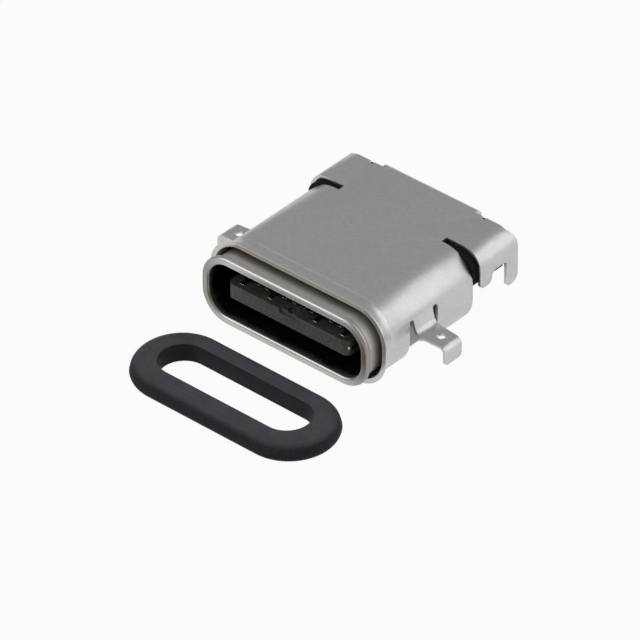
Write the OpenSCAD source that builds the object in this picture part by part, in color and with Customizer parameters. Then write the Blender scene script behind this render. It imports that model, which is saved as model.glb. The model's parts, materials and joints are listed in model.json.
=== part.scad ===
// Board-edge receptacle for a reversible charging and data plug, sealed against water, with its loose
// gasket. X is the width, Y runs from the mouth to the back and Z is up. The origin is the middle of the
// mouth, in the plane of its lip. The socket sits in a cut-out of the circuit board, so half of its height
// is below the board.

/* [Mouth tube] */
// Width of the plug opening
mouth_w = 8.34; // [8.2:0.02:8.5]
// Height of the plug opening
mouth_h = 2.56; // [2.5:0.02:2.66]
// Corner radius of the plug opening
mouth_r = 1.0; // [0.8:0.05:1.2]
// Wall of the drawn steel tube
tube_wall = 0.2; // [0.15:0.01:0.25]
// Length of the tube from its lip to its back end
tube_len = 6.5; // [6.2:0.05:6.6]
// How far the lip stands out from the opening
lip_out = 0.375; // [0.32:0.005:0.42]
// Length of the lip along the tube
lip_len = 0.28; // [0.24:0.02:0.4]
// Rounding of the lip's edges
lip_round = 0.11; // [0.06:0.01:0.13]

/* [Outer shell] */
// Thickness of the folded steel sheet
sheet = 0.15; // [0.12:0.01:0.18]
// Gap between tube and shell at each side
side_gap = 0.045; // [0.01:0.005:0.06]
// Gap between tube and shell above and below
top_gap = 0.2; // [0.1:0.01:0.25]
// Outer corner radius of the shell
shell_r = 1.53; // [1.3:0.01:1.6]
// Set-back of the shell's front ring behind the lip
ring_y = 0.875; // [0.7:0.025:1.1]
// How much wider the ring flares at each side
flare_side = 0.271; // [0.15:0.01:0.35]
// How much higher the ring flares at top and bottom
flare_top = 0.116; // [0.06:0.01:0.2]
// Length of the flare
flare_len = 0.7; // [0.5:0.05:0.9]
// Edge thickness of the ring
ring_edge = 0.236; // [0.2:0.01:0.26]
// How far the round part of the shell runs past the tube
shell_over = 0.2; // [0.1:0.01:0.3]

/* [Front legs] */
// Front edge of each leg
leg_y = 2.96; // [2.8:0.02:3.1]
// Width of each leg along the shell
leg_w = 1.19; // [0.9:0.01:1.3]
// How much narrower each leg is at its tip
leg_taper = 0.15; // [0.1:0.01:0.3]
// Height at which the legs leave the shell's side
leg_root_z = 0.6; // [0.5:0.02:0.8]
// Inner radius of the bend at the root
leg_root_r = 0.32; // [0.2:0.02:0.4]
// Inner radius of the bend at the tip
leg_tip_r = 0.18; // [0.12:0.02:0.3]
// Distance of the leg's outer face from the middle
leg_reach = 6.28; // [6.1:0.01:6.6]
// How deep the tips go into the board
leg_depth = 0.74; // [0.5:0.02:0.9]
// Diameter of the solder hole in each leg
leg_hole = 0.4; // [0.3:0.02:0.5]
// Relief slit in front of each leg
front_slit = 0.26; // [0.16:0.02:0.34]
// Relief slit behind each leg
rear_slit = 0.33; // [0.24:0.01:0.45]

/* [Rear hood] */
// Slit between the round part and the hood
hood_slit = 0.35; // [0.25:0.05:0.45]
// Half width of the bridge that joins shell and hood
bridge = 2.82; // [2.4:0.02:2.9]
// How far each wing stands out past the shell
wing_step = 0.125; // [0.08:0.005:0.2]
// Outer radius of the bend between top and wing
wing_r = 0.91; // [0.6:0.01:1]
// Length of the hood, from the round part of the shell to the wings' back edge
hood_len = 2.74; // [2.6:0.02:2.9]
// Length of each front prong along the wing
front_prong = 0.74; // [0.6:0.02:0.85]
// Gap between the front prong's end and the board
front_lift = 0.17; // [0:0.01:0.3]
// Length of each back prong along the wing
back_prong = 0.72; // [0.6:0.02:0.85]
// Height of the arch between the prongs over the board
arch_z = 0.73; // [0.6:0.01:0.8]
// How deep the back prongs go into the board
prong_depth = 0.57; // [0.4:0.01:0.9]
// How far the hood's back edge stops short of the wings' back edge
hood_trim = 0.25; // [0.2:0.01:0.3]
// Half width of the flap folded down over the back
flap = 2.55; // [2.3:0.05:2.7]
// Outer radius of the flap's bend
flap_r = 0.35; // [0.28:0.01:0.45]
// Height of the flap's lower edge over the board
flap_z = 0.95; // [0.7:0.05:1.2]
// Width of the relief notch beside each end of the flap
flap_notch = 0.2; // [0.15:0.01:0.25]

/* [Board] */
// Height of the board's top face, counted from the middle of the mouth
board_z = -0.15; // [-0.2:0.01:-0.1]

/* [Tongue] */
// Width of the tongue
tongue_w = 6.69; // [6.5:0.01:6.8]
// Thickness of the tongue
tongue_t = 0.7; // [0.66:0.02:0.74]
// Set-back of the tongue's front face
tongue_y = 0.21; // [0.15:0.01:0.3]
// Width of the tongue's side rails
rail = 0.35; // [0.28:0.01:0.4]
// Length of the tongue's solid nose
nose = 0.65; // [0.63:0.01:0.7]
// Thickness of the steel plate in the middle
plate_t = 0.16; // [0.12:0.02:0.18]
// Where the thick root of the tongue starts
root_y = 4.75; // [4.6:0.05:4.9]
// Thickness of the root
root_t = 1.5; // [1.4:0.05:1.6]
// Length over which the moulding fills the back of the tube
collar_len = 0.6; // [0.4:0.05:0.8]
// Sheet of the shield plates
shield_t = 0.12; // [0.1:0.01:0.15]

/* [Contacts] */
// Contacts in each row
row_count = 12; // [6:1:12]
// Distance between contacts
pitch = 0.5; // [0.48:0.01:0.52]
// Width of a contact
contact_w = 0.26; // [0.22:0.01:0.3]
// Thickness of a contact
contact_t = 0.13; // [0.1:0.01:0.15]
// Length of the flat foot that is soldered
foot = 0.45; // [0.35:0.05:0.6]

/* [Gasket] */
// Outer length of the gasket
gasket_w = 10.32; // [10:0.02:10.6]
// Outer depth of the gasket
gasket_d = 4.34; // [4.2:0.02:4.6]
// Length of its opening
gasket_hole_w = 7.86; // [7.6:0.02:8]
// Depth of its opening
gasket_hole_d = 2.13; // [2:0.01:2.3]
// Height of the gasket
gasket_h = 0.93; // [0.93:0.01:1.05]
// Rounding of its upper outer edge
gasket_top_r = 0.6; // [0.3:0.01:0.6]
// Rounding of its lower outer edge
gasket_low_r = 0.32; // [0.1:0.01:0.32]
// Place of the gasket to the right of the mouth's middle
gasket_x = 0.45; // [0:0.05:1]
// Place of the gasket in front of the mouth
gasket_y = -3.54; // [-5:0.01:-3.2]
// How far the gasket is turned where it lies
gasket_turn = -0.6; // [-5:0.1:5]

/* [Hidden] */
$fn = 64;

fit = 0.02;           // clearance between pieces that are pushed together
past = 1;             // how far a cut runs past what it cuts
skin = 0.004;         // how far the flare's last section stays inside the sheet that it joins
hair = 0.001;         // keeps the round end of a slit just short of a full half circle

// Shell
shell_w = mouth_w + 2 * (tube_wall + side_gap + sheet);
shell_h = mouth_h + 2 * (tube_wall + top_gap + sheet);
top_z = shell_h / 2;
shell_end = tube_len + shell_over;
wing_end = shell_end + hood_len;
collar_y = tube_len - collar_len;
corner_x = shell_w / 2 - shell_r;
corner_z = shell_h / 2 - shell_r;
flare_end = ring_y + flare_len;
flare_steps = 3;
flare_slice = 0.01;   // thickness of each section that the flare is drawn through
flare_soft = 0.02;    // how much more the ring's corners are rounded than its flare alone would give
flare_past = 0.05;    // share of its length by which the flare's inside runs past each end

// The socket stands on its ring and on the back edge of its round part, so what it stands on rises to
// the back.
floor_z = -(shell_h / 2 + flare_top);
floor_rise = atan(flare_top / (shell_end - ring_y));

// Legs
root_r = shell_r - sheet / 2;
root_turn = asin((leg_root_z - corner_z) / root_r);
root_start = root_turn + 2;
root_lean = 4;        // the leg's strip starts inside the wall and leans out of it
root_x = corner_x + root_r * cos(root_start);
root_z = corner_z + root_r * sin(root_start);
root_bend = 90 - root_start - root_lean;
leg_bend = leg_root_r + sheet / 2;
tip_bend = leg_tip_r + sheet / 2;
leg_top_z = board_z + sheet;
leg_tip_z = board_z - leg_depth;
root_run = (root_z - board_z - sheet / 2 - leg_bend * (1 - cos(root_bend))) / sin(root_bend);
flat_x = root_x + root_run * cos(root_bend) + leg_bend * sin(root_bend);
flat_end = leg_reach - sheet / 2 - tip_bend;
flat_run = flat_end - flat_x;
hole_share = 0.6;     // the solder hole sits this far along the flat
hole_x = flat_x + hole_share * flat_run;
hole_y = leg_y + leg_w / 2 - leg_taper / 10;
leg_front_r = 0.15;   // rounding of the tip's front corner
leg_back_r = 0.22;    // rounding of the tip's back corner
window_x = 3.5;       // the wall under each leg is open from here outwards: the leg was cut from it
front_slit_top = 0.06; // how far the slits run up past the leg's root
rear_slit_top = 0.09;

// Hood
wing_x = shell_w / 2 + wing_step;
hood_y = shell_end + hood_slit;
hood_end = wing_end - hood_trim;
prong_z = board_z - prong_depth;
arch_top = board_z + arch_z;
front_prong_r = [0.22, 0.3];   // rounding of the front prong's front and back corner
back_prong_r = [0.2, 0.42];    // rounding of the back prong's front and back corner
arch_r = [0.26, 0.1];          // rounding of the arch between them, front and back
back_curve = 0.6;     // radius of the wings' upper back corner
back_curve_x = 3.58;  // that corner starts here, seen from the middle
back_curve_up = 0.02; // its round starts this much above the top plate
flap_face = wing_end + fit + sheet;
notch_from_flap = 0.42;        // the relief notch starts this far beside the flap
notch_depth = 0.14;

// Housing and tongue
block_w = 2 * (wing_x - sheet - fit);
block_top = top_z - sheet - fit;
block_r = wing_r - sheet - fit;
block_y = shell_end + fit;
ear_x = 4.1;          // the housing's feet end here, and its ears lie higher
ear_z = 0.38;         // underside of the ears
feet_x = 3.05;        // the inspection window for the soldered feet ends here
window_end = hood_y + 1.05;
ledge_x = 3.3;        // the back between the wings, which carries the upper contacts, ends here
seal_x = 3.4;
seal_y = hood_y + 0.3;
seal_len = 1;
seal_top = 1.5;
root_w = 7.2;
root_corner = 0.3;
wafer_x = tongue_w / 2 - rail;
wafer_y = tongue_y + nose;
wafer_end = tube_len + 0.1;
plate_y = tongue_y + 0.12;
latch_y = [1.25, 1.95];        // the notches for the plug's latches, from the front
latch_depth = 0.2;
nose_curve = 0.38;
nose_bevel = 0.02;
dimple = [0.88, 0.13, 0.18];   // notch in the nose's upper edge: width, depth, height
pit = [0.5, 0.34, 0.08];       // round gate mark behind it: diameter, distance, depth
pit_x = 0.09;
shield_w = 5.6;
core_step = 0.1;      // the gasket's section reaches this far into its opening, which is then cut to size

// Contacts
contact_z = (tongue_t - contact_t) / 2;
foot_z = board_z + contact_t / 2;
contact_bend = 0.13;
long_front = tongue_y + 0.29;   // supply and ground contacts reach further forward
short_front = tongue_y + 0.7;
upper_exit = wing_end + 0.06;
lower_exit = block_y + 0.04;
upper_turn = 70;                // how steeply each row steps down or up to the board
lower_turn = 45;

// ---- Outlines ----

// A rectangle whose corners are rounded by the four radii, from the lower left one round to the upper
// left one.
module trimmed(w, h, radii) {
    difference() {
        square([w, h]);
        for (i = [0 : 3])
            if (radii[i] > 0)
                translate([(i == 1 || i == 2) ? w : 0, i > 1 ? h : 0]) rotate(90 * i) corner_cut(radii[i]);
    }
}

module corner_cut(r) {
    difference() {
        translate([-past, -past]) square(r + past);
        translate([r, r]) circle(r);
    }
}

module obround(w, h, r) {
    square([w - 2 * r, h], center = true);
    if (h > 2 * r)
        square([w, h - 2 * r], center = true);
    for (sx = [-1, 1], sy = [-1, 1])
        translate([sx * (w / 2 - r), sy * (h / 2 - r)]) circle(r);
}

// A strip of sheet seen from its edge. Each step is [run, turn, radius of the middle line].
module bend_path(steps, t, i = 0) {
    if (i < len(steps)) {
        run = steps[i][0];
        turn = steps[i][1];
        r = steps[i][2];
        if (run > 0) translate([0, -t / 2]) square([run, t]);
        translate([run, 0]) {
            if (turn != 0) bend(turn, r, t);
            translate([r * sin(abs(turn)), sign(turn) * r * (1 - cos(turn))])
                rotate(turn) bend_path(steps, t, i + 1);
        }
    }
}

module bend(turn, r, t) {
    start = -90 * sign(turn);
    reach = 2 * r + t;
    translate([0, sign(turn) * r])
        intersection() {
            difference() {
                circle(r + t / 2);
                circle(r - t / 2);
            }
            polygon([
                [0, 0],
                reach * [cos(start), sin(start)],
                reach / cos(turn / 2) * [cos(start + turn / 2), sin(start + turn / 2)],
                reach * [cos(start + turn), sin(start + turn)]
            ]);
        }
}

// ---- Ways of drawing an outline out into a solid ----

// From y0 to y1, with the outline's y as height.
module along_y(y0, y1) {
    translate([0, y1, 0]) rotate([90, 0, 0]) linear_extrude(y1 - y0) children();
}

// From x0 to x1, with the outline's x as depth and its y as height.
module along_x(x0, x1) {
    translate([x0, 0, 0]) rotate([90, 0, 90]) linear_extrude(x1 - x0) children();
}

module both_sides() {
    children();
    mirror([1, 0, 0]) children();
}

// Sweeps a wall section round a rounded opening that lies in the XY plane. The section's x runs outwards.
module around(w, h, r) {
    for (sx = [0, 1], sy = [0, 1])
        mirror([sx, 0, 0]) mirror([0, sy, 0]) translate([w / 2 - r, h / 2 - r, 0])
            rotate_extrude(angle = 90) translate([r, 0]) children();
    for (sy = [0, 1])
        mirror([0, sy, 0]) along_x(-(w / 2 - r), w / 2 - r) translate([h / 2, 0]) children();
    if (h > 2 * r)
        for (sx = [0, 1])
            mirror([sx, 0, 0]) along_y(-(h / 2 - r), h / 2 - r) translate([w / 2, 0]) children();
}

// ---- Outer shell ----

// s runs from 0 at the ring's edge to 1 where the flare ends.
function flare(s) = pow(1 - s, 2);

function flare_wall(s) = ring_edge + (sheet - ring_edge) * s;

module flare_section(s, inset) {
    translate([0, ring_y + s * flare_len - (s >= 1 ? flare_slice : 0), 0]) rotate([-90, 0, 0])
        linear_extrude(flare_slice)
            obround(
                shell_w + 2 * (flare_side * flare(s) - inset),
                shell_h + 2 * (flare_top * flare(s) - inset),
                shell_r + (flare_top + flare_soft) * flare(s) - inset,
                $fn = 48
            );
}

module flared_ring() {
    difference() {
        for (i = [0 : flare_steps - 1])
            hull() {
                flare_section(i / flare_steps, i == 0 ? 0 : skin);
                flare_section((i + 1) / flare_steps, skin);
            }
        for (i = [0 : flare_steps - 1]) {
            from = i / flare_steps;
            to = (i + 1) / flare_steps;
            hull() {
                flare_section(i == 0 ? -flare_past : from, flare_wall(from) - skin);
                flare_section(i == flare_steps - 1 ? 1 + flare_past : to, flare_wall(to) - skin);
            }
        }
    }
}

module round_body() {
    difference() {
        along_y(flare_end, shell_end) obround(shell_w, shell_h, shell_r);
        along_y(flare_end - past, shell_end + past)
            obround(shell_w - 2 * sheet, shell_h - 2 * sheet, shell_r - sheet);
        both_sides() leg_window();
    }
}

// The leg is cut from the wall below its root, between two slits with round ends.
module leg_window() {
    along_y(leg_y - fit / 4, leg_y + leg_w + fit / 4)
        polygon([
            [window_x, -2 * top_z],
            [window_x, corner_z + (window_x - corner_x) * tan(root_turn)],
            [corner_x + 2 * shell_r * cos(root_turn), corner_z + 2 * shell_r * sin(root_turn)],
            [corner_x + 2 * shell_r, -2 * top_z]
        ]);
    along_x(window_x, shell_w) {
        slit(leg_y - front_slit / 2, front_slit, leg_root_z + front_slit_top);
        slit(leg_y + leg_w + rear_slit / 2, rear_slit, leg_root_z + rear_slit_top);
    }
}

module slit(middle, w, top) {
    translate([middle - w / 2, -2 * top_z])
        trimmed(w, top + 2 * top_z, [0, 0, w / 2 - hair, w / 2 - hair]);
}

module leg() {
    difference() {
        along_y(leg_y, leg_y + leg_w)
            translate([root_x, root_z]) rotate(-root_bend)
                bend_path([
                    [root_run, root_bend, leg_bend],
                    [flat_run, -90, tip_bend],
                    [leg_top_z - sheet / 2 - tip_bend - leg_tip_z, 0, 0]
                ], sheet);
        translate([hole_x, hole_y, board_z - past]) cylinder(d = leg_hole, h = 2 * past);
        translate([0, 0, leg_tip_z - past])
            linear_extrude(leg_root_z - leg_tip_z + 2 * past)
                polygon([
                    [flat_x - leg_bend, leg_y + leg_w],
                    [flat_end, leg_y + leg_w - leg_taper],
                    [leg_reach + past, leg_y + leg_w - leg_taper],
                    [leg_reach + past, leg_y + leg_w + past],
                    [flat_x - leg_bend, leg_y + leg_w + past]
                ]);
        along_x(flat_x, leg_reach + past) {
            translate([leg_y, leg_tip_z]) corner_cut(leg_front_r);
            translate([leg_y + leg_w - leg_taper, leg_tip_z]) rotate(90) corner_cut(leg_back_r);
        }
    }
}

module wing_outline() {
    back = wing_end - back_prong;
    translate([hood_y, arch_top]) square([wing_end - hood_y, top_z - arch_top + past]);
    translate([hood_y, board_z + front_lift])
        trimmed(front_prong, arch_z - front_lift, concat(front_prong_r, [0, 0]));
    translate([back, prong_z]) trimmed(back_prong, arch_top - prong_z, concat(back_prong_r, [0, 0]));
    translate([hood_y + front_prong, arch_top]) rotate(-90) fillet(arch_r[0]);
    translate([back, arch_top]) rotate(180) fillet(arch_r[1]);
}

// Fills the corner at the origin between two edges that run along +x and +y.
module fillet(r) {
    difference() {
        square(r);
        translate([r, r]) circle(r);
    }
}

module hood() {
    difference() {
        intersection() {
            along_y(hood_y, wing_end)
                for (s = [0, 1])
                    mirror([s, 0]) translate([0, top_z - sheet / 2])
                        bend_path([
                            [wing_x - wing_r, -90, wing_r - sheet / 2],
                            [top_z - wing_r - prong_z, 0, 0]
                        ], sheet);
            along_x(-wing_x - past, wing_x + past) wing_outline();
        }
        both_sides() {
            translate([-past, flap_face - flap_r, top_z - past]) cube([flap + past, past, 2 * past]);
            translate([flap + notch_from_flap, hood_end - notch_depth, top_z - past])
                cube([flap_notch, past, 2 * past]);
            translate([flap, hood_end, top_z - past / 2]) cube([back_curve_x - flap, past, past]);
            along_x(back_curve_x, wing_x + past)
                intersection() {
                    translate([wing_end, top_z + back_curve_up]) rotate(180) corner_cut(back_curve);
                    translate([hood_end, 0]) square(2 * past);
                }
        }
    }
    along_x(-flap, flap)
        translate([flap_face - flap_r, top_z - sheet / 2])
            bend_path([
                [0, -90, flap_r - sheet / 2],
                [top_z - flap_r - board_z - flap_z, 0, 0]
            ], sheet);
}

module outer_shell() {
    color("silver") {
        flared_ring();
        round_body();
        both_sides() leg();
        translate([-bridge, shell_end - past, top_z - sheet])
            cube([2 * bridge, past + hood_slit + past / 2, sheet]);
        hood();
    }
}

// ---- Mouth tube and gasket ----

module mouth_tube() {
    color("gainsboro")
        rotate([-90, 0, 0]) around(mouth_w, mouth_h, mouth_r) {
            translate([0, lip_len / 2]) square([tube_wall, tube_len - lip_len / 2]);
            trimmed(lip_out, lip_len, [lip_round, lip_round, lip_round, 0]);
        }
}

module gasket() {
    band = (gasket_w - gasket_hole_w) / 2 + core_step;
    core_d = gasket_d - 2 * band;
    color([0.16, 0.17, 0.18])
        translate([gasket_x, gasket_y, floor_z + (gasket_y - ring_y) * tan(floor_rise)])
            rotate([floor_rise, 0, 0]) rotate(gasket_turn)
                difference() {
                    around(gasket_w - 2 * band, core_d, core_d / 2)
                        trimmed(band, gasket_h, [0, gasket_low_r, gasket_top_r, 0]);
                    translate([0, 0, -past]) linear_extrude(gasket_h + 2 * past)
                        obround(gasket_hole_w, gasket_hole_d, gasket_hole_d / 2);
                }
}

// ---- Housing, wafers and plates ----

module tongue_plan() {
    half = tongue_w / 2;
    translate([-half, tongue_y]) trimmed(tongue_w, root_y - tongue_y, [nose_curve, nose_curve, 0, 0]);
}

module latch_notches(w) {
    both_sides()
        translate([w / 2 - latch_depth, latch_y[0], -tongue_t])
            cube([latch_depth + past, latch_y[1] - latch_y[0], 2 * tongue_t]);
}

module contact_slot(i, z) {
    translate([contact_x(i) - contact_w / 2, contact_front(i), z - contact_t / 2])
        cube([contact_w, wing_end + past - contact_front(i), contact_t]);
}

module lower_exit_slot(i) {
    translate([contact_x(i) - contact_w / 2, contact_front(i), -contact_z - contact_t / 2])
        cube([contact_w, block_y + past - contact_front(i), contact_t]);
}

module tongue_frame() {
    difference() {
        translate([0, 0, -tongue_t / 2]) linear_extrude(tongue_t) tongue_plan();
        latch_notches(tongue_w);
        for (s = [0, 1])
            mirror([0, 0, s]) along_x(-tongue_w, tongue_w)
                polygon([
                    [tongue_y - past, tongue_t / 2 + past],
                    [tongue_y - past, tongue_t / 2 - nose_bevel - past],
                    [tongue_y + nose_bevel + past, tongue_t / 2 + past]
                ]);
        translate([-dimple[0] / 2, tongue_y - past, tongue_t / 2 - dimple[2]])
            cube([dimple[0], dimple[1] + past, dimple[2] + past]);
        translate([pit_x, tongue_y + pit[1], tongue_t / 2 - pit[2]]) cylinder(d = pit[0], h = past);
    }
}

module block() {
    difference() {
        union() {
            along_y(block_y, hood_end - fit)
                difference() {
                    translate([-block_w / 2, board_z])
                        trimmed(block_w, block_top - board_z, [0, 0, block_r, block_r]);
                    for (s = [0, 1])
                        mirror([s, 0]) translate([ear_x, board_z - past])
                            square([past, past + ear_z - board_z]);
                }
            along_x(-ledge_x, ledge_x)
                translate([hood_end - past, board_z])
                    trimmed(
                        wing_end - hood_end + past,
                        block_top - board_z,
                        [0, 0, flap_r - sheet - fit, 0]
                    );
        }
        translate([-feet_x, block_y - past, board_z - past])
            cube([
                2 * feet_x,
                window_end - block_y + past,
                past + contact_z - contact_t / 2 - fit - board_z
            ]);
        translate([-seal_x, seal_y, contact_z + contact_t / 2])
            cube([2 * seal_x, seal_len, block_top]);
    }
}

module housing() {
    color([0.1, 0.1, 0.11]) {
        difference() {
            union() {
                tongue_frame();
                along_y(root_y, collar_y) obround(root_w, root_t, root_corner);
                along_y(collar_y, tube_len + fit)
                    obround(mouth_w - 2 * fit, mouth_h - 2 * fit, mouth_r - fit);
                along_y(tube_len + fit, block_y)
                    obround(mouth_w + 2 * tube_wall, mouth_h + 2 * tube_wall, mouth_r + tube_wall);
                block();
            }
            translate([-wafer_x, wafer_y, -tongue_t / 2])
                cube([2 * wafer_x, wafer_end - wafer_y, tongue_t]);
            plate_shape();
            for (i = [1 : row_count]) {
                contact_slot(i, contact_z);
                lower_exit_slot(i);
            }
        }
    }
}

module wafer(side) {
    difference() {
        mirror([0, 0, side < 0 ? 1 : 0])
            translate([-wafer_x, wafer_y, plate_t / 2])
                cube([2 * wafer_x, wafer_end - wafer_y, (tongue_t - plate_t) / 2]);
        for (i = [1 : row_count]) contact_slot(i, side * contact_z);
    }
}

module upper_wafer() {
    color([0.13, 0.13, 0.14]) wafer(1);
}

module lower_wafer() {
    color([0.13, 0.13, 0.14]) wafer(-1);
}

module plate_shape() {
    difference() {
        translate([0, 0, -plate_t / 2])
            linear_extrude(plate_t)
                intersection() {
                    translate([-tongue_w / 2, tongue_y])
                        trimmed(tongue_w, wafer_end - tongue_y, [nose_curve, nose_curve, 0, 0]);
                    translate([-tongue_w, plate_y]) square([2 * tongue_w, wafer_end]);
                }
        latch_notches(tongue_w);
    }
}

module middle_plate() {
    color("khaki") plate_shape();
}

// Lies on the tongue's thick root and is folded down over its front.
module shield(side) {
    root_len = collar_y - root_y;
    root_step = (root_t - tongue_t) / 2;
    mirror([0, 0, side < 0 ? 1 : 0]) along_x(-shield_w / 2, shield_w / 2)
        difference() {
            translate([root_y - shield_t, tongue_t / 2 + fit])
                trimmed(root_len + shield_t - fit, root_step + shield_t - fit, [0, 0, 0, shield_t]);
            translate([root_y, tongue_t / 2 - past]) square([past + root_len, past + root_step]);
        }
}

module upper_shield() {
    color("lightgray") shield(1);
}

module lower_shield() {
    color("lightgray") shield(-1);
}

module sealing_compound() {
    color([0.2, 0.2, 0.22])
        translate([-seal_x, seal_y, contact_z + contact_t / 2])
            cube([2 * seal_x, seal_len, seal_top - contact_z - contact_t / 2]);
}

// ---- Contacts ----

function contact_x(i) = (i - (row_count + 1) / 2) * pitch;

function is_long(i) = i == 1 || i == 4 || i == row_count - 3 || i == row_count;

function contact_front(i) = is_long(i) ? long_front : short_front;

// A contact runs back level at height z, steps to the board and ends in a flat foot.
module contact(i, z, exit, turn) {
    step = foot_z - z;
    slope = (abs(step) - 2 * contact_bend * (1 - cos(turn))) / sin(turn);
    up = sign(step) * turn;
    color("gold")
        along_x(contact_x(i) - contact_w / 2, contact_x(i) + contact_w / 2)
            translate([contact_front(i), z])
                bend_path([
                    [exit - contact_front(i), up, contact_bend],
                    [slope, -up, contact_bend],
                    [foot, 0, 0]
                ], contact_t);
}

outer_shell();
mouth_tube();
gasket();
housing();
upper_wafer();
lower_wafer();
middle_plate();
upper_shield();
lower_shield();
sealing_compound();
for (i = [1 : row_count]) {
    contact(i, contact_z, upper_exit, upper_turn);
    contact(i, -contact_z, lower_exit, lower_turn);
}
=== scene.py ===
# %% [markdown]
# # A sealed charging socket and its gasket
# A reversible charging plug goes into this socket's flat, rounded mouth. The socket is folded
# from thin steel sheet round a drawn steel tube. Inside the tube stands a black moulded tongue
# with two rows of gilded contacts, and a rubber gasket lies beside it. The exact shapes come
# from the imported model. This lesson breaks their edges, models the gasket, makes the
# finishes, and lights the parts as they would be lit on a white table.

# %% The model and its size
import json
import math

import bpy
from mathutils import Matrix, Vector


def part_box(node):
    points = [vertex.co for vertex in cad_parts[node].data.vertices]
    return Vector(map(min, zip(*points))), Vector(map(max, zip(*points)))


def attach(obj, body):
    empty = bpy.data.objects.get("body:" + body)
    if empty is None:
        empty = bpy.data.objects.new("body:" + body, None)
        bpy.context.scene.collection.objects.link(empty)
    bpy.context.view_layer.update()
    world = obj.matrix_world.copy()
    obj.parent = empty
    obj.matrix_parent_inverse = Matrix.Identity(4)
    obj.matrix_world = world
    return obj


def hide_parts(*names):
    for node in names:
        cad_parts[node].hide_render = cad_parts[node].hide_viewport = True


MM = 0.001

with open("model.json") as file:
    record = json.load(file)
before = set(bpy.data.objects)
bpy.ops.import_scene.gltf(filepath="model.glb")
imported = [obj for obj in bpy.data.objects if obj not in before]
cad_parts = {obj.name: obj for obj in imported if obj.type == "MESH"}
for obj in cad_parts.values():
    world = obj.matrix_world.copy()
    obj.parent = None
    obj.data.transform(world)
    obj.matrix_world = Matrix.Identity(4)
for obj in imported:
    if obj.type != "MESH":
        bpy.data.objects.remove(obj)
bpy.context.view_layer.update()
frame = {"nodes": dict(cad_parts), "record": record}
nodes = frame["nodes"]
scene = bpy.context.scene

# %% [markdown]
# ## A merged copy of a solid
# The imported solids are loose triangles: every triangle has its own corners, so no edge knows its
# neighbour. An edge can only be rounded where two faces share it. A copy is therefore welded
# first, and the triangles of each flat face are joined into one face. The solid itself stays as
# it is, and is hidden behind the copy that stands for it.

# %% Into edit mode and out of it
def edit(piece):
    bpy.ops.object.select_all(action="DESELECT")
    piece.select_set(True)
    bpy.context.view_layer.objects.active = piece
    bpy.ops.object.mode_set(mode="EDIT")


def leave():
    bpy.ops.object.mode_set(mode="OBJECT")


# %% A copy whose faces share their corners
ONE_CORNER = 0.0001 * MM          # corners closer than this are one corner
ONE_FACE = math.radians(0.4)      # faces that turn less than this are one face


def welded_copy(node, name):
    piece = bpy.data.objects.new(name, nodes[node].data.copy())
    piece.data.name = name
    piece.data.materials.clear()
    scene.collection.objects.link(piece)
    edit(piece)
    bpy.ops.mesh.select_all(action="SELECT")
    bpy.ops.mesh.remove_doubles(threshold=ONE_CORNER)
    bpy.ops.mesh.dissolve_limited(angle_limit=ONE_FACE)
    leave()
    return piece


# %% Picking corners by their place
def pick(piece, test):
    # Selects the corners that pass the test, in edit mode, and returns how many they are.
    if piece.mode == "EDIT":
        leave()
    for part in (piece.data.vertices, piece.data.edges, piece.data.polygons):
        part.foreach_set("select", [False] * len(part))
    for corner in piece.data.vertices:
        corner.select = bool(test(corner.co))
    count = sum(corner.select for corner in piece.data.vertices)
    edit(piece)
    bpy.ops.mesh.select_mode(type="VERT")
    return count


def near(a, b):
    return abs(a - b) < 0.002 * MM


# %% [markdown]
# ## Edges that catch the light
# No real edge is perfectly sharp. Stamped sheet has its edges broken by a few hundredths of a
# millimetre in tumbling, and a moulding has the small radius of its mould. Such an edge shows as
# a thin bright line, and without it a part looks drawn and not made. The rounding could be
# faked in the shading alone, but then the outline stays sharp. A Bevel modifier rounds every
# edge that turns sharply enough, and it is applied, so that the rounding is real. A Weighted
# Normal modifier then keeps the shading of each large face level up to its rounded edge.

# %% A broken edge all round
SHARP = math.radians(32)          # only edges that turn more than this are rounded
SMOOTH = math.radians(30)         # faces that turn less than this shade as one surface


def break_edges(piece, width, steps=2, level=True):
    bpy.ops.object.select_all(action="DESELECT")
    piece.select_set(True)
    bpy.context.view_layer.objects.active = piece
    bevel = piece.modifiers.new("broken edges", "BEVEL")
    bevel.width = width
    bevel.segments = steps
    bevel.limit_method = "ANGLE"
    bevel.angle_limit = SHARP
    bevel.miter_outer = "MITER_ARC"
    bpy.ops.object.modifier_apply(modifier=bevel.name)
    bpy.ops.object.shade_smooth_by_angle(angle=SMOOTH)
    if level:
        flat = piece.modifiers.new("flat faces stay flat", "WEIGHTED_NORMAL")
        flat.keep_sharp = True
        bpy.ops.object.modifier_apply(modifier=flat.name)
    return piece


def stands_for(piece, node):
    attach(piece, "root")
    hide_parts(node)
    print(piece.name, "stands for", node, "with", len(piece.data.polygons), "faces")


# %% [markdown]
# ## The folded shell
# The shell is one piece of 0.15 mm sheet. It is rolled round the tube, flared to a ring in front,
# and at the back it opens into a hood whose two wings end in solder prongs. Two legs are cut from
# its wall and bent out. The press leaves a rolled edge on one side of each cut and a small burr on
# the other, and tumbling takes both down to about the same soft edge. Flare and wall meet in a
# step of four thousandths of a millimetre, which levelled shading would draw as a scribed line, so
# the shell keeps its plain smooth shading.

# %% The shell
shell = welded_copy("outer_shell", "folded_shell")
break_edges(shell, 0.02 * MM, level=False)
stands_for(shell, "outer_shell")
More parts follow.
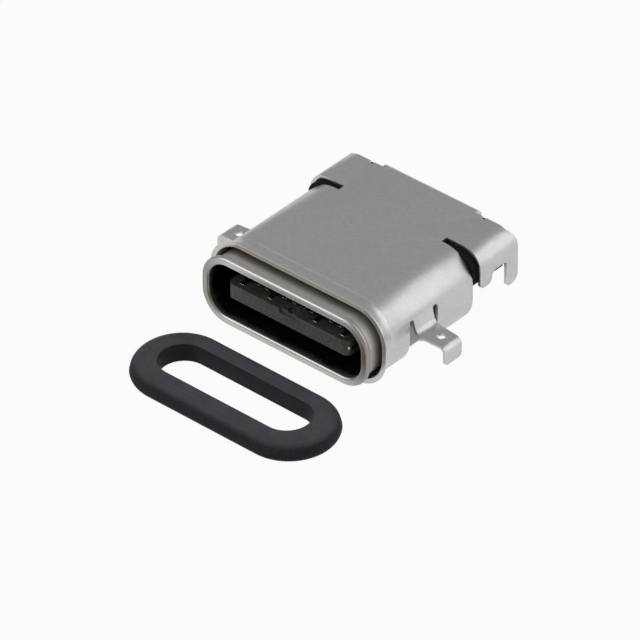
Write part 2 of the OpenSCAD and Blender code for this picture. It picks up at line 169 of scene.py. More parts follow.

# %% [markdown]
# ## The drawn tube
# The tube is drawn from a cup, and its front edge is rolled out to a lip that guides the plug and
# holds the gasket. Little light gets in, so its inside is painted dark: painted shade.
# The inside could be a second piece, but it is the same wall. So its faces get a material slot of
# their own, and they are picked by which way they face: towards the middle of the opening.

# %% The tube, and a slot for its inside
tube = break_edges(welded_copy("mouth_tube", "drawn_tube"), 0.03 * MM, steps=3)
stands_for(tube, "mouth_tube")


def faces_inwards(face, half_flat):
    # The opening's middle line runs along X, and the round ends turn about its two ends.
    x = max(-half_flat, min(half_flat, face.center.x))
    away = Vector((face.center.x - x, 0, face.center.z))
    return face.normal.dot(away) < -0.2 * away.length


OPENING_FLAT = (8.34 / 2 - 1.28) * MM
LIP_EDGE = 0.06 * MM              # the rounding at the lip's inner edge still counts as lip
for face in tube.data.polygons:
    inside = faces_inwards(face, OPENING_FLAT) and face.center.y > LIP_EDGE
    face.material_index = 1 if inside else 0
print(sum(f.material_index for f in tube.data.polygons), "faces of the tube look inwards")

# %% [markdown]
# ## The moulding and its tongue
# Tongue, collar and the block under the hood are one black moulding. The tongue is painted a little
# lighter, as painted light on it, and the block has the dull skin of an eroded mould. The two skins
# are two slots again, told apart by how far back a face lies.

# %% The moulding, and a slot for its tongue
moulding = break_edges(welded_copy("housing", "moulded_block"), 0.02 * MM)
stands_for(moulding, "housing")
TONGUE_END = 4.7 * MM
for face in moulding.data.polygons:
    face.material_index = 1 if face.center.y < TONGUE_END else 0
print(sum(f.material_index for f in moulding.data.polygons), "faces belong to the tongue")

# %% [markdown]
# ## What the tongue holds
# Two moulded wafers carry the contacts, a stamped steel plate lies between them and stops the
# plug's latches, and two thin shields lie on the tongue's root. Behind the tube, a poured
# compound seals the contacts in. All of them are exact already and only need their edges broken.

# %% Wafers, plate, shields and compound
INNER = {
    "upper_wafer": ("wafer_plastic", 0.012), "lower_wafer": ("wafer_plastic", 0.012),
    "middle_plate": ("plate_steel", 0.02),
    "upper_shield": ("shield_steel", 0.02), "lower_shield": ("shield_steel", 0.02),
    "sealing_compound": ("sealant", 0.05),
}
inner = {}
for node, (slot, width) in INNER.items():
    inner[node] = break_edges(welded_copy(node, node + "_finished"), width * MM)
    stands_for(inner[node], node)

# %% [markdown]
# ## Contacts
# Each contact is stamped from a strip, gilded and pressed into its slot. The four longest in a row,
# for supply and ground, reach further forward, and their tips are coined to a soft round, which is
# what glints in the dark mouth. The others have only their edges broken.

# %% The contacts
COINED = 0.022 * MM
BROKEN = 0.006 * MM
first_tip = min(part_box(n)[0].y for n in nodes if "_contact_" in n)
contacts = []
for node in sorted(n for n in nodes if "_contact_" in n):
    reaches_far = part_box(node)[0].y < first_tip + 0.1 * MM
    contact = break_edges(welded_copy(node, node + "_gilded"), COINED if reaches_far else BROKEN)
    stands_for(contact, node)
    contacts.append(contact)

# %% [markdown]
# ## The gasket's section
# The gasket is moulded rubber: flat on top, with a large round towards the outside, and with a
# fine raised line where the mould's two halves and its insert met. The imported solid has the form
# but not these lines. A section is drawn first: a flat rectangle whose corners are rounded with
# the bevel tool, each by its own radius. Its face is then dropped, so that only the outline is
# swept.

# %% The outline of the section
RING = dict(length=10.32 * MM, depth=4.34 * MM, height=0.93 * MM)
HOLE = dict(length=7.86 * MM, depth=2.13 * MM)
RIDGE = 0.03 * MM                 # height of the raised lines
band = (RING["depth"] - HOLE["depth"]) / 2
top = RING["height"] - RIDGE
end_x = RING["length"] / 2 - RING["depth"] / 2
inner_y = HOLE["depth"] / 2

bpy.ops.object.select_all(action="DESELECT")
bpy.ops.mesh.primitive_plane_add(
    size=1 * MM, location=(end_x, inner_y + band / 2, top / 2), rotation=(0, math.pi / 2, 0))
gasket = bpy.context.object
gasket.name = gasket.data.name = "rubber_gasket"
bpy.ops.object.transform_apply(location=True, rotation=True, scale=True)
edit(gasket)
bpy.ops.mesh.select_all(action="SELECT")
bpy.ops.transform.resize(
    value=(1, band / MM, top / MM), center_override=(end_x, inner_y + band / 2, top / 2))
leave()
print("section", round(band / MM, 3), "wide and", round(top / MM, 3), "mm high")


# %% Each corner by its own radius
outer_y = inner_y + band
SHOULDER, SHOULDER_STEPS = 0.59 * MM, 14
FOOT_ROUND = 0.31 * MM
INNER_ROUND = 0.09 * MM
edit(gasket)
for y, z, radius, steps in (
        (outer_y, top, SHOULDER, SHOULDER_STEPS), (outer_y, 0, FOOT_ROUND, 9),
        (inner_y, top, INNER_ROUND, 5), (inner_y, 0, 0.05 * MM, 3)):
    pick(gasket, lambda co: near(co.y, y) and near(co.z, z))
    bpy.ops.mesh.bevel(offset=radius, segments=steps, profile=0.5, affect="VERTICES")
bpy.ops.mesh.select_all(action="SELECT")
bpy.ops.mesh.delete(type="ONLY_FACE")
leave()
print("outline of", len(gasket.data.vertices), "corners")

# %% [markdown]
# ## The mould's lines
# Where the mould's parts meet, rubber creeps into the joint and leaves a fine raised line. The flat
# top's edge is subdivided, so that its last corner before the shoulder can be drawn up as a crest
# with a foot on both sides. A second crest is drawn up on the round shoulder, and a third is drawn
# out low on the outside, where the two halves of the mould close.

# %% Raised lines on the section
flat_from, flat_to = inner_y + INNER_ROUND, outer_y - SHOULDER
FLAT_PARTS = 10
pick(gasket, lambda co: near(co.z, top) and (near(co.y, flat_from) or near(co.y, flat_to)))
bpy.ops.mesh.subdivide(number_cuts=FLAT_PARTS - 1)
crest = flat_to - (flat_to - flat_from) / FLAT_PARTS
found = [pick(gasket, lambda co: near(co.z, top) and near(co.y, crest))]
bpy.ops.transform.translate(value=(0, 0, RIDGE))
second = flat_to + SHOULDER * math.sin(2 * math.pi / 2 / SHOULDER_STEPS)
found.append(pick(gasket, lambda co: co.z > top / 2 and near(co.y, second)))
bpy.ops.transform.translate(value=(0, 0, 0.8 * RIDGE))
found.append(pick(gasket, lambda co: near(co.z, FOOT_ROUND) and co.y > outer_y - 0.01 * MM))
bpy.ops.transform.translate(value=(0, 0.5 * RIDGE, 0))
leave()
print("crests found:", found, "highest", round(max(v.co.z for v in gasket.data.vertices) / MM, 3), "mm")

# %% [markdown]
# ## Round the ends and along the sides
# The ring could be a curve with this section, but the ends would then need care to close. The
# spin tool turns the outline by half a turn about one end's middle, an extrusion carries it
# along the straight side, and the same two steps come again for the way back. The last outline
# falls on the first, and both are merged.

# %% Two half turns and two straight sides
END_STEPS = 48
edit(gasket)
bpy.ops.mesh.select_all(action="SELECT")
for side in (1, -1):
    bpy.ops.mesh.spin(steps=END_STEPS, angle=math.pi, center=(side * end_x, 0, 0), axis=(0, 0, 1))
    bpy.ops.mesh.extrude_edges_move(TRANSFORM_OT_translate={"value": (-side * 2 * end_x, 0, 0)})
bpy.ops.mesh.select_all(action="SELECT")
bpy.ops.mesh.remove_doubles(threshold=ONE_CORNER)
bpy.ops.mesh.normals_make_consistent(inside=False)
leave()
print("ring of", len(gasket.data.polygons), "faces")

# %% [markdown]
# ## A band that is wider at the ends
# The opening is a little shorter than the sweep makes it, because the band is wider at its ends
# than along its sides. The inner wall's corners are picked by their distance from the middle
# line, and each end is pushed in as a whole.

# %% The opening's true length
END_SHIFT = end_x + inner_y - HOLE["length"] / 2
for side in (1, -1):
    def on_inner_wall(co):
        x = side * co.x - end_x
        return x > -0.002 * MM and math.hypot(x, co.y) < inner_y + 0.1 * MM
    moved = pick(gasket, on_inner_wall)
    bpy.ops.transform.translate(value=(-side * END_SHIFT, 0, 0))
    print(moved, "corners moved by", round(END_SHIFT / MM, 3), "mm")
bpy.ops.mesh.select_all(action="SELECT")
bpy.ops.mesh.normals_make_consistent(inside=False)
leave()

# %% [markdown]
# ## Where the gasket lies
# The socket stands on its front ring and on the back edge of its round part, so the table under it
# rises a little to the back as the socket sees it. The gasket lies on this same table, slightly
# turned. The object's matrix takes it there, and is then applied, so that its place is in its mesh.

# %% Laid down in front of the mouth
TABLE_RISE = math.radians(1.141)
GASKET_TURN = math.radians(-0.6)
lo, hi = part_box("gasket")
middle = (lo + hi) / 2
tilt = Matrix.Rotation(TABLE_RISE, 4, "X") @ Matrix.Rotation(GASKET_TURN, 4, "Z")
gasket.matrix_world = (Matrix.Translation(middle) @ tilt
                       @ Matrix.Translation((0, 0, -RING["height"] / 2)))
bpy.ops.object.select_all(action="DESELECT")
gasket.select_set(True)
bpy.context.view_layer.objects.active = gasket
bpy.ops.object.transform_apply(location=True, rotation=True, scale=True)
bpy.ops.object.shade_smooth_by_angle(angle=math.radians(40))
stands_for(gasket, "gasket")

# %% [markdown]
# # Finishes
# Every finish is built from nodes that read the object's own coordinates, so the pattern stays on
# the part when the part is turned. What more than one finish needs is a group that is built once.
# A small helper adds a node, sets its inputs, and links those that are given another node's output.

# %% A helper that adds a node
def add(tree, kind, inputs=None, **settings):
    node = tree.nodes.new(kind)
    for key, value in settings.items():
        setattr(node, key, value)
    for key, value in (inputs or {}).items():
        if isinstance(value, bpy.types.NodeSocket):
            tree.links.new(value, node.inputs[key])
        else:
            node.inputs[key].default_value = value
    return node


def new_group(name, inputs, outputs):
    group = bpy.data.node_groups.new(name, "ShaderNodeTree")
    for label, start in inputs.items():
        socket = group.interface.new_socket(name=label, in_out="INPUT", socket_type="NodeSocketFloat")
        socket.default_value = start
    for label in outputs:
        group.interface.new_socket(name=label, in_out="OUTPUT", socket_type="NodeSocketFloat")
    return group, group.nodes.new("NodeGroupInput").outputs, group.nodes.new("NodeGroupOutput").inputs


# %% [markdown]
# ## Rolled grain
# Sheet leaves the rolling mill with a fine grain and, after plating, with clouds a few tenths of a
# millimetre wide. Two noises at these two sizes make both. The grain can be drawn out along the
# part, as on a drawn tube. The group puts out the grain, the clouds, and a height for a bump.

# %% The group for grain
grain_group, given, result = new_group(
    "rolled grain", {"Grain per mm": 12.0, "Cloud per mm": 1.6, "Drawn out": 1.0},
    ("Grain", "Cloud", "Height"))
place = add(grain_group, "ShaderNodeTexCoord").outputs["Object"]
in_mm = add(grain_group, "ShaderNodeVectorMath", {0: place, "Scale": 1 / MM}, operation="SCALE")
thin = add(grain_group, "ShaderNodeMath", {0: 1.0, 1: given["Drawn out"]}, operation="DIVIDE")
drawn = add(grain_group, "ShaderNodeCombineXYZ", {"X": 1.0, "Y": thin.outputs[0], "Z": 1.0})
along = add(grain_group, "ShaderNodeVectorMath", {0: in_mm.outputs[0], 1: drawn.outputs[0]},
            operation="MULTIPLY")
fine = add(grain_group, "ShaderNodeTexNoise",
           {"Vector": along.outputs[0], "Scale": given["Grain per mm"], "Detail": 3.0,
            "Roughness": 0.6})
cloud = add(grain_group, "ShaderNodeTexNoise",
            {"Vector": in_mm.outputs[0], "Scale": given["Cloud per mm"], "Detail": 4.0,
             "Roughness": 0.55})
height = add(grain_group, "ShaderNodeMix", {"Factor": 0.25, "A": fine.outputs["Fac"],
                                            "B": cloud.outputs["Fac"]}, data_type="FLOAT")
grain_group.links.new(fine.outputs["Fac"], result["Grain"])
grain_group.links.new(cloud.outputs["Fac"], result["Cloud"])
grain_group.links.new(height.outputs["Result"], result["Height"])
print("group", grain_group.name, "has", len(grain_group.nodes), "nodes")

# %% [markdown]
# ## Worn edges and painted highlights
# Handling polishes the edges first: they are smoother than the faces, and they are painted a little
# lighter, a painted highlight along each edge. The Bevel node gives the normal that a wider rounding
# would have. Where it departs from the true normal there is an edge, and a noise breaks it up, as real
# wear does.

# %% The group for worn edges and painted edge highlights
wear_and_highlight_group, given, result = new_group("edge wear and painted highlight", {"Width": 0.03 * MM, "Patchy": 0.5}, ("Edge",))
soft = add(wear_and_highlight_group, "ShaderNodeBevel", {"Radius": given["Width"]}, samples=8)
true = add(wear_and_highlight_group, "ShaderNodeNewGeometry").outputs["Normal"]
agree = add(wear_and_highlight_group, "ShaderNodeVectorMath", {0: soft.outputs[0], 1: true},
            operation="DOT_PRODUCT")
departs = add(wear_and_highlight_group, "ShaderNodeMapRange",
              {"Value": agree.outputs["Value"], "From Min": 0.995, "From Max": 0.86,
               "To Min": 0.0, "To Max": 1.0})
place = add(wear_and_highlight_group, "ShaderNodeTexCoord").outputs["Object"]
chips = add(wear_and_highlight_group, "ShaderNodeTexNoise",
            {"Vector": place, "Scale": 4 / MM, "Detail": 3.0, "Roughness": 0.6})
broken = add(wear_and_highlight_group, "ShaderNodeMapRange",
             {"Value": chips.outputs["Fac"], "From Min": 0.35, "From Max": 0.6,
              "To Min": 0.0, "To Max": 1.0})
patchy = add(wear_and_highlight_group, "ShaderNodeMix", {"Factor": given["Patchy"], "A": 1.0,
                                           "B": broken.outputs["Result"]}, data_type="FLOAT")
edge = add(wear_and_highlight_group, "ShaderNodeMath", {0: departs.outputs["Result"], 1: patchy.outputs["Result"]},
           operation="MULTIPLY", use_clamp=True)
wear_and_highlight_group.links.new(edge.outputs[0], result["Edge"])
print("group", wear_and_highlight_group.name, "has", len(wear_and_highlight_group.nodes), "nodes")

# %% [markdown]
# ## Mould skin
# Rubber and plastic copy the skin of their mould: a fine sandy texture from spark erosion, with
# paler flecks where filler or glass fibre comes to the surface. Voronoi cells give the sand, and a
# noise with a hard threshold gives the flecks.

# %% The group for mould skin
skin_group, given, result = new_group(
    "mould skin", {"Sand per mm": 20.0, "Flecks per mm": 9.0, "Flow per mm": 0.9},
    ("Sand", "Fleck", "Flow"))
place = add(skin_group, "ShaderNodeTexCoord").outputs["Object"]
in_mm = add(skin_group, "ShaderNodeVectorMath", {0: place, "Scale": 1 / MM}, operation="SCALE")
sand = add(skin_group, "ShaderNodeTexVoronoi",
           {"Vector": in_mm.outputs[0], "Scale": given["Sand per mm"]}, feature="SMOOTH_F1")
fibre = add(skin_group, "ShaderNodeTexNoise",
            {"Vector": in_mm.outputs[0], "Scale": given["Flecks per mm"], "Detail": 2.0,
             "Roughness": 0.7})
fleck = add(skin_group, "ShaderNodeMapRange",
            {"Value": fibre.outputs["Fac"], "From Min": 0.5, "From Max": 0.72,
             "To Min": 0.0, "To Max": 1.0})
flow = add(skin_group, "ShaderNodeTexNoise",
           {"Vector": in_mm.outputs[0], "Scale": given["Flow per mm"], "Detail": 4.0,
            "Roughness": 0.6, "Distortion": 0.4})
skin_group.links.new(sand.outputs["Distance"], result["Sand"])
skin_group.links.new(fleck.outputs["Result"], result["Fleck"])
skin_group.links.new(flow.outputs["Fac"], result["Flow"])
print("group", skin_group.name, "has", len(skin_group.nodes), "nodes")


# %% [markdown]
# ## Small steps that every finish takes
# A finish starts from a Principled shader. A colour moves between two tints as a mask asks, a
# number moves between two values, and a height becomes a bump. Each step is a line below.

# %% A blank finish, tints, ranges and bumps
def blank(name):
    finish = bpy.data.materials.new(name)
    finish.use_nodes = True
    return finish, finish.node_tree, finish.node_tree.nodes["Principled BSDF"]


def use(tree, group, **inputs):
    node = tree.nodes.new("ShaderNodeGroup")
    node.node_tree = group
    for key, value in inputs.items():
        node.inputs[key.replace("_", " ")].default_value = value
    return node.outputs


def tint(tree, mask, low, high):
    mix = add(tree, "ShaderNodeMix", {"Factor": mask}, data_type="RGBA")
    for key, colour in (("A", low), ("B", high)):
        socket = next(s for s in mix.inputs if s.name == key and s.type == "RGBA")
        if isinstance(colour, bpy.types.NodeSocket):
            tree.links.new(colour, socket)
        else:
            socket.default_value = (*colour, 1)
    return next(s for s in mix.outputs if s.type == "RGBA")


def span(tree, value, low, high, start=0.0, end=1.0, kind="LINEAR"):
    node = add(tree, "ShaderNodeMapRange",
               {"Value": value, "From Min": start, "From Max": end, "To Min": low, "To Max": high},
               interpolation_type=kind)
    return node.outputs["Result"]


def bump(tree, shader, height, depth, strength=1.0):
    node = add(tree, "ShaderNodeBump", {"Height": height, "Distance": depth, "Strength": strength})
    tree.links.new(node.outputs["Normal"], shader.inputs["Normal"])


def shaded(colour, factor):
    return tuple(c * factor for c in colour)


# %% [markdown]
# ## Steel
# Plated steel is a plain mirror made soft by its grain. Its colour carries almost all of the look:
# a neutral grey with clouds of one or two percent. Roughness follows the clouds, and edges are
# smoother, and painted lighter as a painted highlight. One function makes the shell's, the shields'
# and the plate's steel, each with its own colour and grain.

# %% Sheet steel
def sheet_steel(name, colour, roughness, grain=7.5, edge_highlight=1.5, depth=0.0006 * MM):
    finish, tree, shader = blank(name)
    roll = use(tree, grain_group, Grain_per_mm=grain, Cloud_per_mm=1.7)
    edge = use(tree, wear_and_highlight_group, Width=0.03 * MM)["Edge"]
    body = tint(tree, span(tree, roll["Grain"], 0, 1, 0.32, 0.68),
                shaded(colour, 0.93), shaded(colour, 1.07))
    clouded = tint(tree, span(tree, roll["Cloud"], 0, 0.5, 0.35, 0.65), body, shaded(colour, 0.95))
    # The lighter colour on the edges is a painted highlight; their lower roughness is real wear.
    tree.links.new(tint(tree, edge, clouded, shaded(colour, edge_highlight)), shader.inputs["Base Color"])
    dull = span(tree, roll["Cloud"], roughness - 0.02, roughness + 0.03, 0.3, 0.7)
    smoother = add(tree, "ShaderNodeMix", {"Factor": edge, "A": dull, "B": roughness - 0.08},
                   data_type="FLOAT")
    tree.links.new(smoother.outputs["Result"], shader.inputs["Roughness"])
    shader.inputs["Metallic"].default_value = 1.0
    bump(tree, shader, roll["Height"], depth)
    return finish


shell_steel = sheet_steel("satin sheet steel", (0.56, 0.557, 0.552), 0.36)
shield_steel = sheet_steel("shield steel", (0.5, 0.5, 0.49), 0.4, grain=9.0)
plate_steel = sheet_steel("flash-gilded steel", (0.74, 0.62, 0.4), 0.3, grain=9.0)
print("three sheet steels")

# %% [markdown]
# ## The tube's steel
# The neck is warmer and duller than the shell, because the tube isn't plated after drawing. It is
# painted darker and browner towards the gap, and darker still under the shell: painted shade. The
# lip is rubbed bright by every plug. Position along the tube tells lip, neck and gap apart, and the
# lip is painted darker and browner towards its ends: painted shade. The inside is the same steel
# under a painted shade that fades in to brown-black just behind the lip.

# %% Drawn steel, outside
LIP_END = 0.28 * MM
tube_steel, tree, shader = blank("drawn tube steel")
place = add(tree, "ShaderNodeSeparateXYZ",
            {0: add(tree, "ShaderNodeTexCoord").outputs["Object"]}).outputs
along_y = place["Y"]
to_side = add(tree, "ShaderNodeMath", {0: place["X"]}, operation="ABSOLUTE").outputs[0]
roll = use(tree, grain_group, Grain_per_mm=14.0, Cloud_per_mm=1.2, Drawn_out=0.3)
edge = use(tree, wear_and_highlight_group, Width=0.035 * MM, Patchy=0.4)["Edge"]
# Painted shade: the neck darkens and browns towards the gap, and darkens again under the shell.
shade_towards_gap = span(tree, along_y, 0, 1, 0.45 * MM, 1.1 * MM, "SMOOTHSTEP")
shade_under_shell = span(tree, along_y, 0, 1, 1.2 * MM, 1.8 * MM, "SMOOTHSTEP")
neck_shaded_to_gap = tint(tree, shade_towards_gap, (0.56, 0.553, 0.52), (0.42, 0.37, 0.31))
neck = tint(tree, shade_under_shell, neck_shaded_to_gap, (0.3, 0.295, 0.29))
past_lip = span(tree, along_y, 0, 1, LIP_END - 0.05 * MM, LIP_END + 0.03 * MM, "SMOOTHSTEP")
# Painted shade: the lip darkens and browns towards its ends.
lip = tint(tree, span(tree, to_side, 0, 1, 2.9 * MM, 4.5 * MM, "SMOOTHSTEP"),
           (0.56, 0.545, 0.53), (0.31, 0.29, 0.275))
body = tint(tree, past_lip, lip, neck)
grained = tint(tree, span(tree, roll["Grain"], 0, 0.22, 0.32, 0.68), body, (0.36, 0.34, 0.31))
# The edges are painted lighter: a painted highlight, along with real wear.
tree.links.new(tint(tree, edge, grained, (0.62, 0.61, 0.59)), shader.inputs["Base Color"])
neck_dull = span(tree, past_lip, 0.38, 0.55)
cloudy = add(tree, "ShaderNodeMath",
             {0: neck_dull, 1: span(tree, roll["Cloud"], -0.03, 0.04, 0.3, 0.7)}, operation="ADD")
tree.links.new(cloudy.outputs[0], shader.inputs["Roughness"])
shader.inputs["Metallic"].default_value = 1.0
bump(tree, shader, roll["Height"], 0.0007 * MM)

# %% Drawn steel, inside
tube_inside, tree, shader = blank("tube inside, painted shade")
along_y = add(tree, "ShaderNodeSeparateXYZ",
              {0: add(tree, "ShaderNodeTexCoord").outputs["Object"]}).outputs["Y"]
roll = use(tree, grain_group, Grain_per_mm=10.0, Cloud_per_mm=1.5, Drawn_out=4.0)
ragged = add(tree, "ShaderNodeMath",
             {0: along_y, 1: span(tree, roll["Cloud"], -0.12 * MM, 0.12 * MM, 0.3, 0.7)},
             operation="ADD")
# Painted shade: the inside darkens to brown-black just behind the lip, along a ragged line.
painted_inside_shade = span(tree, ragged.outputs[0], 0, 1, 0.05 * MM, 0.45 * MM, "SMOOTHSTEP")
inside_with_painted_shade = tint(tree, painted_inside_shade, (0.36, 0.33, 0.29), (0.022, 0.018, 0.015))
tree.links.new(tint(tree, span(tree, roll["Grain"], 0, 0.3, 0.3, 0.7), inside_with_painted_shade, (0.012, 0.01, 0.009)),
               shader.inputs["Base Color"])
tree.links.new(span(tree, roll["Cloud"], 0.46, 0.6, 0.3, 0.7), shader.inputs["Roughness"])
shader.inputs["Metallic"].default_value = 1.0
bump(tree, shader, roll["Height"], 0.0008 * MM)
print("tube steel, outside and inside")

# %% [markdown]
# ## Rubber
# Black silicone isn't black. What faces up is painted paler, a painted light from above, and the
# sides are painted darker, a painted shade. The height part of the surface normal gives this. A
# soft, weak highlight and a sandy mould skin do the rest.

# %% Gasket rubber
gasket_rubber, tree, shader = blank("matte gasket rubber")
skin = use(tree, skin_group, Sand_per_mm=22.0, Flecks_per_mm=11.0, Flow_per_mm=0.8)
edge = use(tree, wear_and_highlight_group, Width=0.05 * MM, Patchy=0.6)["Edge"]
upward = add(tree, "ShaderNodeSeparateXYZ",
             {0: add(tree, "ShaderNodeNewGeometry").outputs["Normal"]}).outputs["Z"]
# Painted light and shade: faces that look up are painted paler, the sides darker.
painted_top_light = span(tree, upward, 0, 1, 0.5, 0.99, "SMOOTHSTEP")
body = tint(tree, painted_top_light, (0.012, 0.013, 0.0145), (0.068, 0.074, 0.082))
flowed = tint(tree, span(tree, skin["Flow"], 0, 0.35, 0.4, 0.65), body, (0.03, 0.033, 0.036))
flecked = tint(tree, span(tree, skin["Fleck"], 0, 0.25), flowed, (0.075, 0.08, 0.085))
# The edges are painted paler: a painted sheen.
tree.links.new(tint(tree, span(tree, edge, 0, 0.6), flecked, (0.11, 0.115, 0.125)),
               shader.inputs["Base Color"])
tree.links.new(span(tree, skin["Flow"], 0.62, 0.74, 0.35, 0.65), shader.inputs["Roughness"])
shader.inputs["Specular IOR Level"].default_value = 0.14
bump(tree, shader, skin["Sand"], 0.0012 * MM, 0.8)


# %% [markdown]
# ## Black plastics
# The tongue, the block, the wafers and the compound are all black resins. They differ in how grey
# they are, how many fibres show and how dull their skin is, so one function makes them from these
# numbers.

# %% Moulded plastic
def moulded(name, colour, fleck_colour, roughness, gloss, sand=18.0, depth=0.001 * MM):
    finish, tree, shader = blank(name)
    skin = use(tree, skin_group, Sand_per_mm=sand, Flecks_per_mm=8.0, Flow_per_mm=1.4)
    edge = use(tree, wear_and_highlight_group, Width=0.03 * MM)["Edge"]
    flowed = tint(tree, span(tree, skin["Flow"], 0, 1, 0.35, 0.65),
                  shaded(colour, 0.8), shaded(colour, 1.25))
    flecked = tint(tree, span(tree, skin["Fleck"], 0, 0.55), flowed, fleck_colour)
    # The edges are painted paler: a painted highlight, along with real wear.
    tree.links.new(tint(tree, span(tree, edge, 0, 0.5), flecked, fleck_colour),
                   shader.inputs["Base Color"])
    tree.links.new(span(tree, skin["Flow"], roughness - 0.05, roughness + 0.05, 0.35, 0.65),
                   shader.inputs["Roughness"])
    shader.inputs["Specular IOR Level"].default_value = gloss
    bump(tree, shader, skin["Sand"], depth, 0.7)
    return finish


# The tongue is painted lighter than the block: painted light on the tongue.
lit_tongue_plastic = moulded("tongue moulding, painted light", (0.045, 0.044, 0.046), (0.12, 0.118, 0.12), 0.5, 0.5)
block_plastic = moulded("block moulding", (0.008, 0.008, 0.0082), (0.02, 0.02, 0.02), 0.75, 0.1)
wafer_plastic = moulded("wafer moulding", (0.014, 0.014, 0.015), (0.05, 0.05, 0.05), 0.42, 0.4)
sealant = moulded("poured compound", (0.02, 0.02, 0.024), (0.03, 0.03, 0.035), 0.2, 0.5,
                  sand=6.0, depth=0.0004 * MM)
print("four plastics")

# %% [markdown]
# ## Gilded contacts
# A thin gold layer over nickel on copper alloy. The plug's springs rub paler, smoother patches
# into it, and the strip's rolling lines run lengthwise. Their edges stay
# rich in colour, because nothing touches them.

# %% Contact gold
contact_gold, tree, shader = blank("contact gilding")
roll = use(tree, grain_group, Grain_per_mm=16.0, Cloud_per_mm=2.2, Drawn_out=6.0)
body = tint(tree, span(tree, roll["Grain"], 0, 1, 0.3, 0.7), (0.78, 0.55, 0.2), (0.9, 0.68, 0.3))
tree.links.new(tint(tree, span(tree, roll["Cloud"], 0, 0.45, 0.4, 0.65), body, (0.93, 0.76, 0.45)),
               shader.inputs["Base Color"])
tree.links.new(span(tree, roll["Cloud"], 0.2, 0.34, 0.3, 0.7), shader.inputs["Roughness"])
shader.inputs["Metallic"].default_value = 1.0
bump(tree, shader, roll["Height"], 0.0005 * MM)
print("gilding")


# %% [markdown]
# ## Every piece gets its finish
# A piece's first slot takes the finish that most of it has, and the second one the faces that were
# picked out above. The hidden solids get the same finishes, because they are what other programs
# show when they read the frame alone.

# %% Finishes onto pieces
def dress(piece, *finishes):
    marks = [face.material_index for face in piece.data.polygons]
    piece.data.materials.clear()
    for finish in finishes:
        piece.data.materials.append(finish)
    for face, mark in zip(piece.data.polygons, marks):
        face.material_index = min(mark, len(finishes) - 1)


dress(shell, shell_steel)
dress(tube, tube_steel, tube_inside)
dress(moulding, block_plastic, lit_tongue_plastic)
dress(gasket, gasket_rubber)
BY_SLOT = {
    "shell_steel": shell_steel, "tube_steel": tube_steel, "gasket_rubber": gasket_rubber,
    "housing_plastic": block_plastic, "wafer_plastic": wafer_plastic, "plate_steel": plate_steel,
    "shield_steel": shield_steel, "sealant": sealant, "contact_gold": contact_gold,
}
for node, (slot, width) in INNER.items():
    dress(inner[node], BY_SLOT[slot])
for contact in contacts:
    dress(contact, contact_gold)
for part in frame["record"]["subparts"]:
    solid = nodes[part["node"]]
    solid.data.materials.clear()
    solid.data.materials.append(BY_SLOT[part["material_slot"]])
print(len(BY_SLOT) + 2, "finishes on", len(nodes), "pieces")

# %% [markdown]
# # Table, light and camera
# The table is a plain white sheet that takes a soft shadow. It is seen, and mirrored in the steel,
# as plain white, while the light that it throws back onto the parts is that of a mid grey. A Light
# Path node tells the two apart. Without this, dark rubber beside a white sheet would look grey.

# %% The table
TABLE_GAP = 0.002 * MM
shell_lo, shell_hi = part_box("outer_shell")
bpy.ops.object.select_all(action="DESELECT")
bpy.ops.mesh.primitive_plane_add(
    size=1.2, location=(0, shell_lo.y, shell_lo.z - TABLE_GAP), rotation=(TABLE_RISE, 0, 0))
table = bpy.context.object
table.name = "table"
white_table, tree, shader = blank("white table")
shader.inputs["Base Color"].default_value = (0.5, 0.5, 0.5, 1)
shader.inputs["Roughness"].default_value = 0.8
white = add(tree, "ShaderNodeEmission")
path = add(tree, "ShaderNodeLightPath").outputs
seen = add(tree, "ShaderNodeMath", {0: path["Is Camera Ray"], 1: path["Is Glossy Ray"]},
           operation="MAXIMUM")
seen = add(tree, "ShaderNodeMath", {0: seen.outputs[0], 1: path["Is Transmission Ray"]},
           operation="MAXIMUM")
share = add(tree, "ShaderNodeMath", {0: seen.outputs[0], 1: 0.95}, operation="MULTIPLY")
both = add(tree, "ShaderNodeMixShader", {0: share.outputs[0], 1: shader.outputs[0],
                                         2: white.outputs[0]})
tree.links.new(both.outputs[0], tree.nodes["Material Output"].inputs["Surface"])
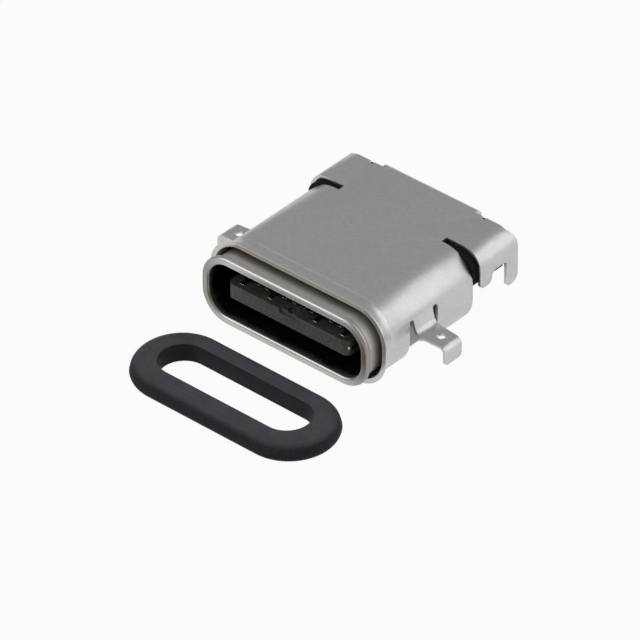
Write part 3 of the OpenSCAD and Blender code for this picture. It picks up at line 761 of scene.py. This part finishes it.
table.data.materials.append(white_table)
print("table 1.2 m wide")

# %% [markdown]
# ## Light
# Satin steel shows what stands round it, so the light is built as surroundings: an even grey
# room, a wide softbox behind on the right that draws the bright band along the rounded side, and
# a lower one in front on the left that looks into the mouth and onto the neck.

# %% The room and two softboxes
ROOM = 0.46
world = bpy.data.worlds.new("studio room")
scene.world = world
world.use_nodes = True
world.node_tree.nodes["Background"].inputs["Color"].default_value = (1, 1, 1, 1)
world.node_tree.nodes["Background"].inputs["Strength"].default_value = ROOM


def softbox(name, place, size, power):
    light = bpy.data.objects.new(name, bpy.data.lights.new(name, "AREA"))
    light.data.shape = "SQUARE"
    light.data.size = size
    light.data.energy = power
    light.location = place
    light.rotation_mode = "QUATERNION"
    light.rotation_quaternion = (-Vector(place)).to_track_quat("-Z", "Y")
    scene.collection.objects.link(light)
    print(name, "is", round(Vector(place).length, 2), "m away")


softbox("softbox behind", (0.44, 0.40, 0.29), 0.8, 2.0)
softbox("softbox in front", (-0.32, -0.37, 0.35), 0.45, 1.2)

# %% [markdown]
# ## Camera
# A small part is shot from far off with a long lens, which keeps its parallel edges almost
# parallel. The camera stands to the right of the mouth and a little over a third of the way up to
# the vertical. Its place is given along its own three axes, so that the framing can be moved
# without turning it.

# %% The camera
TURNED = math.radians(41.08)
RAISED = math.radians(35.81)
right = Vector((math.cos(TURNED), math.sin(TURNED), 0))
away = Vector((math.sin(TURNED) * math.cos(RAISED), -math.cos(TURNED) * math.cos(RAISED),
               math.sin(RAISED)))
upwards = away.cross(right)
camera = bpy.data.objects.new("camera", bpy.data.cameras.new("camera"))
scene.collection.objects.link(camera)
camera.location = (1.50 * right + 0.08 * upwards + 496.22 * away) * MM
camera.rotation_mode = "QUATERNION"
camera.rotation_quaternion = (-away).to_track_quat("-Z", "Y")
camera.data.lens = 675
camera.data.sensor_width = 36
camera.data.clip_start = 0.01
camera.data.clip_end = 5
scene.camera = camera
scene.view_settings.view_transform = "Standard"
print("camera", round(camera.location.length, 3), "m away")
